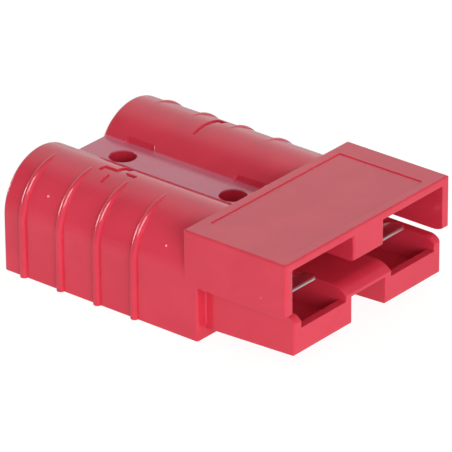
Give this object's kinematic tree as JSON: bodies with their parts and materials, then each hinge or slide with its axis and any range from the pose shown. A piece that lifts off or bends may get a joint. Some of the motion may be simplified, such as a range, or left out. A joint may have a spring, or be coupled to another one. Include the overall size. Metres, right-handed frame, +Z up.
{
  "type": "genderless power connector",
  "caption": "Two-pole genderless power connector: moulded housing with a hood, a tongue, round cable barrels and sprung contact trays, fixed by holes through its web.",
  "frame": {"origin": "centre of the flat mounting face's outline, on that face", "axes": "+X towards the mate, +Z up from the mounting face to the hood top, +Y to the left pole"},
  "size_m": [0.079, 0.0578, 0.0255],
  "materials": {
    "red_plastic": "glossy moulded polycarbonate, red",
    "spring_steel": "stainless spring strip"
  },
  "bodies": {
    "root": {"housing": "red_plastic", "spring_left": "spring_steel", "spring_right": "spring_steel"}
  },
  "joints": []
}
